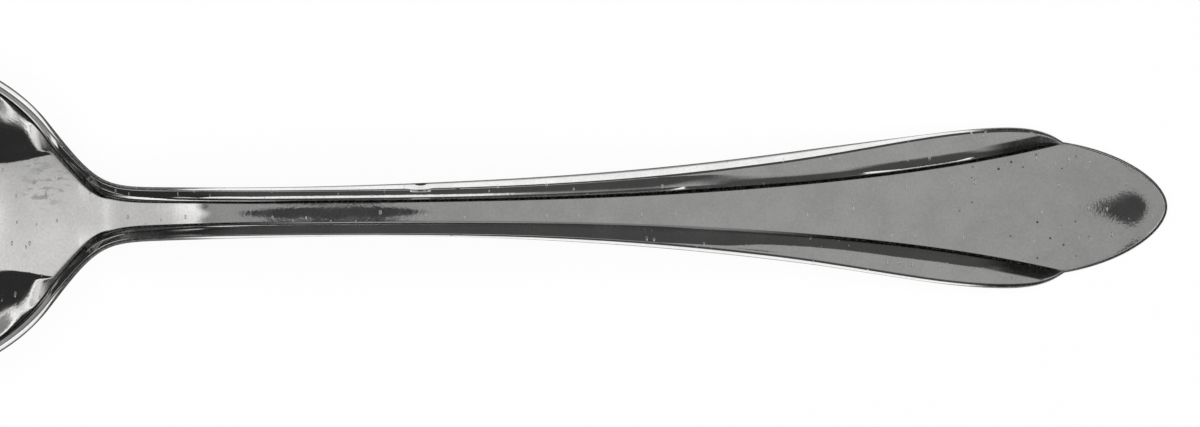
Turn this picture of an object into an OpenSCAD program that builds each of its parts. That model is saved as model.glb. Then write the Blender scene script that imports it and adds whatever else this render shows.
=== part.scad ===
// Teaspoon with an egg-shaped bowl, a waisted neck and a flared handle.
// A panel runs down the handle between two grooves, which end at the shoulders before a pointed end.
// The blank is struck in one piece. It is divided here at plain section planes into its five regions.
// Units are millimetres. The bowl points to -X, the handle to +X, and the spoon rests on z = 0.

/* [Bowl] */
// Length from the bowl's tip to its heel
bowl_l = 50.5; // [40:0.5:65]
// Width at the widest place
bowl_w = 33; // [26:0.5:42]
// How far the egg outline leans towards the handle
bowl_egg = 0.15; // [0:0.01:0.25]
// Depth of the dish below its rim
bowl_d = 7.6; // [5:0.1:11]
// Wall at the deepest place
bowl_wall = 1.25; // [0.8:0.05:2.2]
// Width of the rim, from the dish's edge to the outside
rim_w = 1.15; // [0.8:0.05:2]
// Thickness of the rim
rim_t = 0.95; // [0.7:0.05:1.6]
// How much higher the tip of the rim stands than its sides
rim_lift = 0.7; // [0:0.1:2]
// Softness of the crease where the dish's ramp meets the neck
heel_soft = 0.1; // [0.05:0.01:0.5]

/* [Handle outline] */
// Length from the bowl's heel to the handle's end
handle_l = 104.5; // [80:0.5:140]
// Width of the stem at its narrowest
stem_w = 4.8; // [3.6:0.1:8]
// Distance from the heel to the narrowest place
stem_x = 21; // [15:0.5:30]
// Width of the handle across its shoulders
handle_w = 15.5; // [11:0.1:22]
// Distance from the shoulders' widest place to the end
wide_back = 15.5; // [12:0.1:24]
// Width at the corners where the shoulders run out
corner_w = 12.6; // [9:0.1:18]
// Distance from those corners to the end
corner_back = 10; // [7:0.1:16]

/* [Side view] */
// Slope of the neck as it leaves the bowl, in degrees
neck_rise = 28; // [16:0.5:32]
// Slope of the shoulder behind the neck's bend, in degrees
shoulder_rise = 2.5; // [0:0.1:5]
// Slope of the very end of the handle, in degrees
end_rise = 8; // [2:0.5:12]
// Depth of the worn flat under the bowl
bowl_wear = 0.1; // [0.06:0.01:0.2]
// Depth of the worn flat under the handle's end
end_wear = 0.04; // [0.02:0.01:0.15]

/* [Thickness] */
// Neck, just behind the heel
neck_t = 3.5; // [2.5:0.1:5]
// Stem at its narrowest
stem_t = 3.2; // [2.2:0.1:4.5]
// Handle at its middle, below the panel's edge
handle_t = 2.1; // [1.6:0.1:3.5]
// Handle near its end, below the panel's edge
end_t = 1.3; // [1.1:0.05:2.5]

/* [Panel and grooves] */
// Width of the panel along the stem
panel_w = 2; // [1.4:0.1:3]
// Width of the groove beside the panel
groove_w = 1.4; // [0.9:0.05:2]
// Depth of the groove as a share of its width
groove_d = 0.255; // [0.1:0.005:0.35]
// Share of the groove's width that rises to the panel
riser_share = 0.38; // [0.25:0.01:0.5]
// Crown of the panel on the stem
stem_crown = 0.04; // [0:0.01:0.2]
// Crown of the panel near the end
end_crown = 0.52; // [0:0.02:1]

/* [Upper edges] */
// Radius of the small round on the bowl's rim
rim_edge = 0.25; // [0.1:0.01:0.4]
// Radius of the small round on the neck and the stem
stem_edge = 0.28; // [0.1:0.01:0.5]
// Radius of the small round on the handle
handle_edge = 0.5; // [0.2:0.05:0.8]
// Radius of the round on the pointed end
end_edge = 0.6; // [0.2:0.05:0.9]
// Width of the rim's drafted side, seen from above
rim_side = 0.45; // [0.2:0.01:0.6]
// Width of the neck's drafted side, seen from above
neck_side = 0.2; // [0.1:0.01:0.5]
// Width of the stem's drafted side, seen from above
stem_side = 0.27; // [0.1:0.01:0.6]
// Width of the handle's drafted side, seen from above
handle_side = 0.42; // [0.2:0.01:0.7]

/* [Parts] */
// One region of the spoon, or all of them

/* [Hidden] */
silver = [0.78, 0.78, 0.76];

// Places along the length
x_tip = -(bowl_l + handle_l) / 2;
x_heel = x_tip + bowl_l;
x_end = x_heel + handle_l;
x_mid = x_tip + bowl_l / 2;
x_flank = x_heel - 3.1;
x_neck = x_heel + 7.5;
x_narrow = x_heel + stem_x;
x_wide = x_end - wide_back;
x_corner = x_end - corner_back;
x_rest = x_corner + 0.2 * corner_back;

// Section planes between the regions
cut_neck = x_heel + 3;
cut_stem = x_heel + 15.5;
cut_handle = x_narrow + 28.5;
cut_end = x_corner;

// Places on the handle, as distances from the narrowest place
x_flare = x_narrow + 11.5;
x_wing = x_narrow + 36.5;

// Facets: dish or panel, riser, cove, small round, lower round, back
n_face = 9;
n_riser = 3;
n_cove = 3;
n_round = 3;
n_under = 3;
n_back = 7;

function clamp01(t) = min(1, max(0, t));

// Smooth step from 0 at a to 1 at b
function ease(x, a, b) =
    let (t = clamp01((x - a) / (b - a)))
    t * t * (3 - 2 * t);

// The step's own integral, for bends in the side view
function ease_sum(x, a, b) =
    let (t = clamp01((x - a) / (b - a)))
    (b - a) * (t * t * t - t * t * t * t / 2) + max(0, x - b);

// A value that eases from one [place, size] pair to the next
function chain(x, k, i = 0) =
    i == len(k) - 1 ? k[i][1] :
    x <= k[i + 1][0] ? k[i][1] + (k[i + 1][1] - k[i][1]) * ease(x, k[i][0], k[i + 1][0]) :
    chain(x, k, i + 1);

// The larger of two values, rounded over a width
function soft_max(a, b, w) = (a + b + sqrt((a - b) * (a - b) + w * w)) / 2;

// Curve through four control points, and its height over a given x
function bez(c, t) =
    let (s = 1 - t)
    s * s * s * c[0] + 3 * s * s * t * c[1] + 3 * s * t * t * c[2] + t * t * t * c[3];
function bez_y(c, x, lo = 0, hi = 1, n = 30) =
    let (m = (lo + hi) / 2)
    n == 0 ? bez(c, m)[1] :
    bez(c, m)[0] < x ? bez_y(c, x, m, hi, n - 1) :
    bez_y(c, x, lo, m, n - 1);

// Plan outline of the bowl: half width, and half width times its slope
egg_s = bowl_egg == 0 ? 0 : (sqrt(1 + 8 * bowl_egg * bowl_egg) - 1) / (4 * bowl_egg);
egg_r = bowl_w / 2 / (sqrt(1 - egg_s * egg_s) * (1 + bowl_egg * egg_s));
x_broad = x_mid + egg_s * bowl_l / 2;
function egg_at(x) = min(1, max(-1, (x - x_mid) / (bowl_l / 2)));
function egg(x) =
    let (s = egg_at(x))
    egg_r * sqrt(1 - s * s) * (1 + bowl_egg * s);
function egg_lean(x) =
    let (s = egg_at(x), k = 1 + bowl_egg * s)
    egg_r * egg_r / (bowl_l / 2) * k * (bowl_egg * (1 - s * s) - s * k);

// Plan outline from the bowl's flank to the end
neck_half = stem_w / 2 + 0.18;
flank_y = egg(x_flank);
flank_m = egg_lean(x_flank) / flank_y;
flank_run = (flank_y - neck_half) / -flank_m;
flank = [
    [x_flank, flank_y],
    [x_flank + 0.93 * flank_run, flank_y + 0.93 * flank_run * flank_m],
    [x_flank + 1.05 * flank_run, neck_half + 0.12],
    [x_neck, neck_half]
];
flare = [
    [x_narrow, stem_w / 2],
    [x_narrow + 0.6 * (x_wide - x_narrow), stem_w / 2],
    [x_wide - 0.15 * (x_wide - x_narrow), handle_w / 2],
    [x_wide, handle_w / 2]
];
lobe = [
    [x_wide, handle_w / 2],
    [x_wide + 0.53 * (x_corner - x_wide), handle_w / 2],
    [x_corner - 0.22 * (x_corner - x_wide), corner_w / 2 + 0.58 * (handle_w - corner_w) / 2],
    [x_corner, corner_w / 2]
];
point = [
    [x_corner, corner_w / 2],
    [x_corner + 0.585 * corner_back, 0.854 * corner_w / 2],
    [x_end, 0.384 * corner_w / 2],
    [x_end, 0]
];
function half_w(x) =
    x <= x_flank ? egg(x) :
    x <= x_neck ? bez_y(flank, x) :
    x <= x_narrow ? stem_w / 2 + 0.18 * pow((x_narrow - x) / (x_narrow - x_neck), 2) :
    x <= x_wide ? bez_y(flare, x) :
    x <= x_corner ? bez_y(lobe, x) :
    bez_y(point, min(x, x_end));
function lean_at(x) =
    x <= x_flank ? egg_lean(x) :
    let (
        a = max(x - 0.02, x < x_corner ? x_flank : x_corner),
        b = min(x + 0.02, x < x_corner ? x_corner : x_end)
    )
    (pow(half_w(b), 2) - pow(half_w(a), 2)) / (2 * (b - a));
function lean(x) =
    abs(x - x_corner) >= 0.4 ? lean_at(x) :
    let (t = ease(x, x_corner - 0.4, x_corner + 0.4))
    (1 - t) * lean_at(x_corner - 0.4) + t * lean_at(x_corner + 0.4);

// Half width of a line that runs a distance r inside the outline
function inside_round(o, g, r) = sqrt(max(0, o * o + 2 * r * r - 2 * r * sqrt(o * o + r * r + g * g)));
function inside_long(o, g, r) = o - r * sqrt(o * o + g * g) / o;
function inside(x, r) =
    let (
        o = half_w(x),
        g = lean(x),
        a = x_corner + 0.3 * corner_back,
        b = x_corner + 0.8 * corner_back,
        t = x > a ? 1 - ease(x, a, b) : ease(x, x_flank - 3, x_flank)
    )
    t == 0 ? inside_round(o, g, r) : (1 - t) * inside_round(o, g, r) + t * inside_long(o, g, r);

// Upper edge: a small round that turns from one slope to another, then a drafted side
turn_to = 62;
function turn_from(x) = chain(x, [[x_heel - 4, 0], [x_heel, 15], [x_wing - 3, 15], [x_wing + 3, 0]]);
function edge_r(x) = chain(x, [
    [x_heel - 9, rim_edge], [x_heel + 2, stem_edge], [x_narrow, stem_edge], [x_wing, handle_edge],
    [x_corner - 5, handle_edge], [x_corner, 0.14], [x_corner + 3, end_edge]
]);
function side_run(x) = chain(x, [
    [x_heel - 9, rim_side], [x_heel + 2, neck_side], [x_narrow, stem_side], [x_wing, handle_side],
    [x_corner - 5, handle_side], [x_corner, 0.1], [x_corner + 3, 0.16]
]);
function side_drop(x) = chain(x, [
    [x_heel - 9, 0.5], [x_heel + 2, 0.6], [x_narrow, 0.6], [x_wing, 0.72],
    [x_corner - 5, 0.72], [x_corner, 0.3], [x_corner + 3, 0.4]
]);
function edge_run(x) = side_run(x) + edge_r(x) * (sin(turn_to) - sin(turn_from(x)));

// Edge of the dish and of the panel, from the rim to the shoulders' corners
panel = [
    [x_flare - 6.5, panel_w / 2],
    [x_flare + 7, panel_w / 2],
    [x_corner - 21.3, panel_w / 2 + 0.02],
    [x_corner, corner_w / 2]
];
function border(x) = chain(x, [[x_heel - 1, rim_w], [x_heel + 2, stem_w / 2 - panel_w / 2 + 0.02]]);
function line_in(x) = chain(x, [[x_heel - 4, 0], [x_heel + 4, 0.065], [x_flare, 0.065], [x_wing, 0.1]]);
function panel_line(x) = x < x_flare - 6.5 ? panel_w / 2 : bez_y(panel, min(x, x_corner));
function face_half(x) =
    x < x_narrow - 5 ? inside(x, border(x)) - line_in(x) :
    -soft_max(line_in(x) - panel_line(x), 0.04 - inside(x, edge_run(x)), 0.08);

// Groove beside the panel: it starts along the flank and runs out at the corners
function groove_share(x) = ease(x, x_heel - 4, x_heel + 0.5) * (1 - ease(x, x_corner - 2, x_corner));
function groove_room(x) = chain(x, [
    [x_neck, 1.8 * groove_w], [x_narrow, 1.18 * groove_w],
    [x_wing - 2, 1.18 * groove_w], [x_wing + 14, groove_w]
]);
function cove_start(x) = chain(x, [[x_neck + 4, 1], [x_narrow, 0.5]]);

// Thicknesses and crown along the length
function edge_t(x) = chain(x, [
    [x_heel - 12, rim_t], [x_heel + 4, 2.2], [x_narrow, 2], [x_wing, 1.45], [x_corner, 1.1]
]);
function full_t(x) = chain(x, [
    [x_heel + 4, neck_t], [x_narrow, stem_t], [x_wing, handle_t], [x_corner, end_t], [x_end, 0.92 * end_t]
]);
function crown(x) = chain(x, [
    [x_heel, 0], [x_neck + 4, stem_crown], [x_flare, stem_crown], [x_flare + 14, 0],
    [x_corner - 12, 0], [x_corner, end_crown]
]) * (x < x_corner ? 1 : 1 - pow((x - x_corner) / (x_end - x_corner), 2));

// Side view: the height of the rim and of the panel's edge
m_rise = tan(neck_rise);
m_shoulder = tan(shoulder_rise);
m_crest = 0.4 * m_shoulder;
m_end = tan(end_rise);
z_rim = bowl_d + bowl_wall - bowl_wear;
function bends(x, m) =
    z_rim + rim_lift * (1 - ease(x, x_tip - 4, x_tip + 0.55 * bowl_l))
    + m_rise * ease_sum(x, x_heel - 0.5, x_heel + 5.5)
    + (m_shoulder - m_rise) * ease_sum(x, x_heel + 6.3, x_heel + 16.3)
    + (m_crest - m_shoulder) * ease_sum(x, x_narrow - 6.5, x_narrow - 1)
    + (m - m_crest) * ease_sum(x, x_narrow - 1.5, x_narrow + 33.5)
    + (m_end - m) * ease_sum(x, x_corner - 19.5, x_corner + 20.5)
    - crown(x);
rest_0 = bends(x_rest, 0);
rest_1 = bends(x_rest, 1) - rest_0;
m_fall = (full_t(x_rest) - end_wear - rest_0) / rest_1;
function edge_z(x) = bends(x, m_fall);

// Hollow of the dish below the rim. It leaves its curve at a tangent, as a straight ramp up to the neck.
dish_tip = x_tip + rim_w;
dish_heel = x_heel + 0.3;
x_crease = x_heel + 2.45;
function bulge(x, a, b, lean) =
    let (s = (x - (a + b) / 2) / ((b - a) / 2))
    (1 - s * s) * (1 + lean * s);
function dish_z(x) = z_rim - bowl_d * bulge(x, dish_tip, dish_heel, 0.1);
function dish_m(x) = (dish_z(x + 0.01) - dish_z(x - 0.01)) / 0.02;
function ramp_miss(x) = dish_z(x) + dish_m(x) * (x_crease - x) - edge_z(x_crease);
function ramp_from(lo, hi, n = 30) =
    let (m = (lo + hi) / 2)
    n == 0 ? m :
    ramp_miss(m) < 0 ? ramp_from(m, hi, n - 1) :
    ramp_from(lo, m, n - 1);
x_ramp = ramp_from(x_mid, x_heel);
function ramp_z(x) = dish_z(x_ramp) + dish_m(x_ramp) * (x - x_ramp);
function hollow(x) =
    x >= x_heel + 4.5 ? 0 :
    x < x_ramp ? bowl_d * bulge(x, dish_tip, dish_heel, 0.1) :
    soft_max(edge_z(x) - ramp_z(x), 0, heel_soft * ease(x, x_ramp, x_heel))
    * (1 - ease(x, x_heel + 2.5, x_heel + 4.5));

// Hollow of the bowl's outside, and the body of the neck and the handle
function back_drop(x) =
    let (out = bowl_d + bowl_wall - rim_t, to_neck = ease(x, x_mid, x_heel + 2))
    x < x_neck ?
    soft_max(out * bulge(x, x_tip, x_heel + 1.2, 0.1), to_neck * (full_t(x) - edge_t(x)), 1.6 * to_neck) :
    full_t(x) - edge_t(x) + 1.6 * 1.6 / 4 / out * (1 - ease(x, x_neck, x_narrow)) / 1.2;

// Share of the hollow left at a share q of the half width, rounder in the bowl than at the heel
function bow(q, full = 0.2) = 1 - (1 - full) * q * q - full * q * q * q * q;
function face_full(x) = 0.2 - 0.4 * ease(x, x_heel - 6, x_heel - 3);

// Height of the dish or panel, and of the back
function face_z(x, y) =
    let (q = min(1, abs(y) / max(face_half(x), 0.001)))
    edge_z(x) + crown(x) * (1 - q * q) - hollow(x) * bow(q, face_full(x));
function back_z(x, y) =
    edge_z(x) - edge_t(x) - back_drop(x) * bow(min(1, abs(y) / max(half_w(x), 0.001)));
function floor_at(p) = [p[0], p[1], max(0, p[2])];

// Lower round of a section
function under_round(x) = min(1.1, 0.8 * edge_t(x));

// A point a distance r inside the outline. The station holds a point of the outline, the way out from it,
// and whether the column fans out from a hub.
function along(st, r) = st[4] ? [st[0] - r * st[2], st[1] - r * st[3]] : [st[0], inside(st[0], r)];
function lip_in(st) = st[0] < x_narrow ? rim_w : edge_run(st[0]) + 0.25;
function lip_at(st) =
    st[4] ? along(st, lip_in(st)) :
    [st[0], min(face_half(st[0]), inside(st[0], edge_run(st[0]) + 0.25))];
function fall_share(s) = s < 0.4 ? 1.5625 * s * s : 0.25 + 1.25 * (s - 0.4);

// A column of half a section: dish or panel, riser, cove, small round, side, lower round, back
function column(st, mid) =
    let (
        x = st[0],
        hub = st[4] ? [mid, 0] : [x, 0],
        lip = lip_at(st),
        crest = along(st, edge_run(x)),
        room = norm(crest - lip),
        out = (crest - lip) / room,
        width = min(groove_room(x), 0.94 * room),
        rw = riser_share * width,
        depth = groove_d * width * groove_share(x),
        k = cove_start(x),
        from = turn_from(x),
        er = edge_r(x),
        low = -er * (cos(from) - cos(turn_to)),
        ur = under_round(x),
        heel = along(st, ur)
    )
    concat(
        [for (i = [0:n_face]) let (p = hub + i / n_face * (lip - hub)) [p[0], p[1], face_z(p[0], p[1])]],
        [for (i = [1:n_riser])
            let (s = i / n_riser, p = lip + rw * s * out)
            [p[0], p[1], face_z(p[0], p[1]) - depth * fall_share(s)]],
        [for (i = [1:n_cove])
            let (u = i / n_cove, p = lip + (rw + (width - rw) * u) * out)
            [p[0], p[1], face_z(p[0], p[1]) - depth * (1 - k * u - (1 - k) * u * u)]],
        [for (i = [0:n_round])
            let (
                a = from + (turn_to - from) * i / n_round,
                p = along(st, side_run(x) + er * (sin(turn_to) - sin(a)))
            )
            [p[0], p[1], edge_z(p[0]) - er * (cos(from) - cos(a))]],
        [let (p = along(st, 0)) [p[0], p[1], edge_z(p[0]) + low - side_drop(x)]],
        [for (i = [1:n_under])
            let (
                a = 90 - 90 * i / n_under,
                p = along(st, ur * (1 - sin(a))),
                rise = edge_t(p[0]) + low - side_drop(x)
            )
            floor_at([p[0], p[1], back_z(p[0], p[1]) + rise * (1 - cos(a))])],
        [for (i = [n_back - 1:-1:0])
            let (p = hub + (st[4] ? pow(i / n_back, 1.25) : i / n_back) * (heel - hub))
            floor_at([p[0], p[1], back_z(p[0], p[1])])]
    );

// Stations of the outline around a rounded end, from the tip to its broadest place
function way_out(x, y, g) = let (n = sqrt(g * g + y * y)) [-g / n, y / n];
function tip_station(i, n) =
    let (x = x_tip + (x_broad - x_tip) * (1 - cos(90 * i / n)), y = egg(x), d = way_out(x, y, egg_lean(x)))
    [x, y, d[0], d[1], true];
function point_station(i, n, upto) =
    let (
        t = 1 - upto * i / n,
        s = 1 - t,
        p = bez(point, t),
        d = [for (k = [0:2]) point[k + 1] - point[k]],
        v = s * s * d[0] + 2 * s * t * d[1] + t * t * d[2],
        l = norm(v)
    )
    [p[0], p[1], -v[1] / l, v[0] / l, true];
function plain_station(x) = [x, 0, 0, 0, false];

// Triangles that close a section, as places in its column: a is the outline's place, m the last one
function rungs(c, a, m, i = 0, j = 0) =
    i == a && j == m - a ? [] :
    j == m - a || (i < a && c[i + 1][1] <= c[m - j - 1][1]) ?
    concat(i + 1 == m - j ? [] : [[i, i + 1, m - j]], rungs(c, a, m, i + 1, j)) :
    concat(i == m - j - 1 ? [] : [[i, m - j - 1, m - j]], rungs(c, a, m, i, j + 1));

// A closed solid from columns that start at a pole, and its mirror image across y = 0
module capped_end(cols, poles, flip) {
    last = len(cols) - 1;
    m = len(cols[0]) - 1;
    a = m - n_under - n_back;
    tops = last - poles + 1;
    mids = concat(
        [for (k = [poles:last]) cols[k][0]],
        [for (k = [poles:last]) cols[k][m]]
    );
    sides = [for (k = [-last:last]) for (j = [1:m - 1])
        let (p = cols[abs(k)][j]) [p[0], k < 0 ? -p[1] : p[1], p[2]]];
    function at(k, j) =
        j == 0 ? max(0, abs(k) - poles) :
        j == m ? tops + max(0, abs(k) - poles) :
        2 * tops + (k + last) * (m - 1) + j - 1;
    skin = [for (k = [-last:last - 1]) for (j = [0:m - 1])
        for (f = k >= 0 ?
            [[at(k, j), at(k + 1, j), at(k + 1, j + 1)], [at(k, j), at(k + 1, j + 1), at(k, j + 1)]] :
            [[at(k, j), at(k + 1, j), at(k, j + 1)], [at(k + 1, j), at(k + 1, j + 1), at(k, j + 1)]])
        if (f[0] != f[1] && f[1] != f[2] && f[2] != f[0]) f];
    caps = [for (t = rungs(cols[last], a, m))
        each [[at(last, t[2]), at(last, t[1]), at(last, t[0])], [for (j = t) at(-last, j)]]];
    faces = concat(skin, caps);
    polyhedron(concat(mids, sides), flip ? [for (f = faces) [for (i = [len(f) - 1:-1:0]) f[i]]] : faces);
}

// A closed solid from columns between two section planes, and its mirror image across y = 0
module bar(cols) {
    last = len(cols) - 1;
    m = len(cols[0]) - 1;
    a = m - n_under - n_back;
    ring = 2 * m;
    pts = [for (k = [0:last]) each concat(
        cols[k],
        [for (j = [m - 1:-1:1]) [cols[k][j][0], -cols[k][j][1], cols[k][j][2]]]
    )];
    function at(k, j) = k * ring + (j + ring) % ring;
    skin = [for (k = [0:last - 1]) for (j = [0:ring - 1])
        for (f = j < m ?
            [[at(k + 1, j + 1), at(k + 1, j), at(k, j)], [at(k, j + 1), at(k + 1, j + 1), at(k, j)]] :
            [[at(k, j + 1), at(k + 1, j), at(k, j)], [at(k, j + 1), at(k + 1, j + 1), at(k + 1, j)]])
        f];
    caps = concat(
        [for (t = rungs(cols[0], a, m))
            each [[at(0, t[2]), at(0, t[1]), at(0, t[0])], [for (j = t) at(0, -j)]]],
        [for (t = rungs(cols[last], a, m))
            each [[for (j = t) at(last, j)], [at(last, -t[2]), at(last, -t[1]), at(last, -t[0])]]]
    );
    polyhedron(pts, concat(skin, caps));
}

// Evenly spaced places from a to b
function places(a, b, n) = [for (i = [0:n]) a + (b - a) * i / n];

module bowl() {
    n_tip = 14;
    body = places(x_broad, x_flank - 2, 8);
    heel = [for (i = [1:12]) x_flank - 2 + (cut_neck - x_flank + 2) * i / 12];
    tip = [for (i = [0:n_tip]) column(tip_station(i, n_tip), x_broad)];
    rest = [for (x = concat(body, heel)) if (x > x_broad + 0.01) column(plain_station(x), 0)];
    color(silver) capped_end(concat(tip, rest), n_tip, true);
}

module neck() {
    color(silver) bar([for (x = places(cut_neck, cut_stem, 10)) column(plain_station(x), 0)]);
}

module stem() {
    color(silver) bar([for (x = places(cut_stem, cut_handle, 12)) column(plain_station(x), 0)]);
}

module handle() {
    long = places(cut_handle, x_wide, 14);
    lobes = [for (x = places(x_wide, cut_end, 9)) if (x > x_wide + 0.01) x];
    color(silver) bar([for (x = concat(long, lobes)) column(plain_station(x), 0)]);
}

module terminal() {
    n_tip = 12;
    upto = 0.85;
    hub = bez(point, 1 - upto)[0];
    tip = [for (i = [0:n_tip]) column(point_station(i, n_tip, upto), hub)];
    body = [for (x = places(hub - 0.6, cut_end, 2)) column(plain_station(x), 0)];
    color(silver) capped_end(concat(tip, body), n_tip, false);
}

bowl();
neck();
stem();
handle();
terminal();
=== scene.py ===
import math
from functools import lru_cache

import bmesh
import bpy
from mathutils import Matrix, Vector


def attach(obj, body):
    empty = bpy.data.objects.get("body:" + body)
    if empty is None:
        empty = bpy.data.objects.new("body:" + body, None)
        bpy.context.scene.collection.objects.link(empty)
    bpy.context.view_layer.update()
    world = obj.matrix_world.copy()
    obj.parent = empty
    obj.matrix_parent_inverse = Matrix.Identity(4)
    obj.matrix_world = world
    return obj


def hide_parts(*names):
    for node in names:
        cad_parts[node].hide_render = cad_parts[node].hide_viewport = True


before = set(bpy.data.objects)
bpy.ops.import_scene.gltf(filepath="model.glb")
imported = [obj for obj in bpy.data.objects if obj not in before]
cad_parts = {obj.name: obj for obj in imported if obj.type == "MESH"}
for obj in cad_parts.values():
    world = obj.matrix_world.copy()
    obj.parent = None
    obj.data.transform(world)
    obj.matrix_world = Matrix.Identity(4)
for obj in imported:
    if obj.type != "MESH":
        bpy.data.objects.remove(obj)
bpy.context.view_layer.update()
print("frame loaded:", ", ".join(sorted(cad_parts)))

mm = 0.001


# sRGB hex to the linear values that Blender's sockets take
def hexColor(text):
    out = []
    for i in (0, 2, 4):
        c = int(text[i:i + 2], 16) / 255
        out.append(c / 12.92 if c <= 0.04045 else ((c + 0.055) / 1.055) ** 2.4)
    return (*out, 1.0)


# one node with its settings, input values and links
def addNode(tree, kind, settings=None, values=None, links=None):
    node = tree.nodes.new(kind)
    for key, value in (settings or {}).items():
        setattr(node, key, value)
    for key, value in (values or {}).items():
        node.inputs[key].default_value = value
    for key, socket in (links or {}).items():
        tree.links.new(socket, node.inputs[key])
    return node


# the spoon is one struck blank, so its pieces share one set of curves. sizes in millimetres, angles in
# degrees. edge is the radius of the upper edge's round, side and sideDrop are the drafted side's plan width
# and height
bowl = dict(length=50.5, width=33.0, egg=0.15, flankBack=3.1, depth=7.6, skew=0.1, wall=1.25, rimWidth=1.15,
            rimThick=0.95, rimLift=0.7, ramp=25.0, rampHalf=5.1, rampSpread=0.22, rampHollow=0.018,
            heelSoft=0.08, landTilt=7.0, lipSoft=0.17, edge=0.25, side=0.45, sideDrop=0.5, wear=0.1)
neck = dict(at=7.5, fuller=0.18, thick=3.5, edgeThick=2.2, rise=28.0, edge=0.28, side=0.2, sideDrop=0.6)
stem = dict(at=21.0, width=4.8, thick=3.2, edgeThick=2.0, panel=2.0, shoulder=3.0, crest=1.2, crown=0.037,
            edge=0.28, side=0.18, sideDrop=0.6)
handle = dict(length=104.5, width=15.5, wideBack=15.5, flareAt=11.5, wingAt=36.5, thick=2.1, edgeThick=1.45,
              edge=0.5, side=0.42, sideDrop=0.72, trim=0.22)
terminal = dict(width=12.6, back=10.0, thick=1.3, edgeThick=1.1, settle=-1.3, rise=9.0, crown=0.36,
                edge=0.42, side=0.05, sideDrop=0.4, wear=0.04)

# stations along the blank, from the bowl's tip to the handle's end
xTip = -(bowl["length"] + handle["length"]) / 2
xHeel = xTip + bowl["length"]
xEnd = xHeel + handle["length"]
xMid = xTip + bowl["length"] / 2
xFlank = xHeel - bowl["flankBack"]
xNeck = xHeel + neck["at"]
xNarrow = xHeel + stem["at"]
xWide = xEnd - handle["wideBack"]
xCorner = xEnd - terminal["back"]
xRest = xCorner + 0.2 * terminal["back"]                 # where the handle stands on the table
xFlare = xNarrow + handle["flareAt"]
xWing = xNarrow + handle["wingAt"]
cuts = dict(neck=xHeel + 3, stem=xHeel + 15.5, handle=xNarrow + 28.5, end=xCorner)


def ease(x, a, b):
    t = min(1.0, max(0.0, (x - a) / (b - a)))
    return t * t * (3 - 2 * t)


# integral of ease, for the bends of the side view
def easeSum(x, a, b):
    t = min(1.0, max(0.0, (x - a) / (b - a)))
    return (b - a) * (t ** 3 - t ** 4 / 2) + max(0.0, x - b)


# eases from one (place, size) pair to the next
def chain(x, pairs):
    for (a, va), (b, vb) in zip(pairs, pairs[1:]):
        if x <= b:
            return va + (vb - va) * ease(x, a, b)
    return pairs[-1][1]


def softMax(a, b, w):
    return (a + b + math.sqrt((a - b) ** 2 + w * w)) / 2


def bezier(c, t):
    s = 1 - t
    return [s ** 3 * c[0][i] + 3 * s * s * t * c[1][i] + 3 * s * t * t * c[2][i] + t ** 3 * c[3][i]
            for i in (0, 1)]


def bezierAt(c, x):
    lo, hi = 0.0, 1.0
    for _ in range(40):
        m = (lo + hi) / 2
        if bezier(c, m)[0] < x:
            lo = m
        else:
            hi = m
    return bezier(c, (lo + hi) / 2)[1]


# the bowl's egg outline: half width, and half width times its slope
egg = bowl["egg"]
eggPeak = (math.sqrt(1 + 8 * egg * egg) - 1) / (4 * egg)
eggRadius = bowl["width"] / 2 / (math.sqrt(1 - eggPeak ** 2) * (1 + egg * eggPeak))
xBroad = xMid + eggPeak * bowl["length"] / 2


def eggHalf(x):
    s = min(1.0, max(-1.0, (x - xMid) / (bowl["length"] / 2)))
    return eggRadius * math.sqrt(1 - s * s) * (1 + egg * s)


def eggLean(x):
    s = min(1.0, max(-1.0, (x - xMid) / (bowl["length"] / 2)))
    k = 1 + egg * s
    return eggRadius ** 2 / (bowl["length"] / 2) * k * (egg * (1 - s * s) - s * k)


stemHalf = stem["width"] / 2
wideHalf = handle["width"] / 2
cornerHalf = terminal["width"] / 2
panelHalf = stem["panel"] / 2
neckHalf = stemHalf + neck["fuller"]
flankY = eggHalf(xFlank)
flankSlope = eggLean(xFlank) / flankY
flankRun = (flankY - neckHalf) / -flankSlope

# the rest of the outline and the panel's edge, with control points as shares of each stretch
flankCurve = [(xFlank, flankY), (xFlank + 0.93 * flankRun, flankY + 0.93 * flankRun * flankSlope),
              (xFlank + 1.05 * flankRun, neckHalf + 0.12), (xNeck, neckHalf)]
flareCurve = [(xNarrow, stemHalf), (xNarrow + 0.6 * (xWide - xNarrow), stemHalf),
              (xWide - 0.15 * (xWide - xNarrow), wideHalf), (xWide, wideHalf)]
lobeCurve = [(xWide, wideHalf), (xWide + 0.53 * (xCorner - xWide), wideHalf),
             (xCorner - 0.22 * (xCorner - xWide), cornerHalf + 0.58 * (wideHalf - cornerHalf)),
             (xCorner, cornerHalf)]
pointCurve = [(xCorner, cornerHalf), (xCorner + 0.585 * terminal["back"], 0.854 * cornerHalf),
              (xEnd, 0.384 * cornerHalf), (xEnd, 0.0)]
panelCurve = [(xFlare - 6.5, panelHalf), (xFlare + 7, panelHalf),
              (xCorner - 21.3, panelHalf + 0.02), (xCorner, cornerHalf)]


@lru_cache(maxsize=None)
def halfWidth(x):
    if x <= xFlank:
        return eggHalf(x)
    if x <= xNeck:
        return bezierAt(flankCurve, x)
    if x <= xNarrow:
        return stemHalf + neck["fuller"] * ((xNarrow - x) / (xNarrow - xNeck)) ** 2
    if x <= xWide:
        return bezierAt(flareCurve, x)
    if x <= xCorner:
        return bezierAt(lobeCurve, x)
    return bezierAt(pointCurve, min(x, xEnd))


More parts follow.
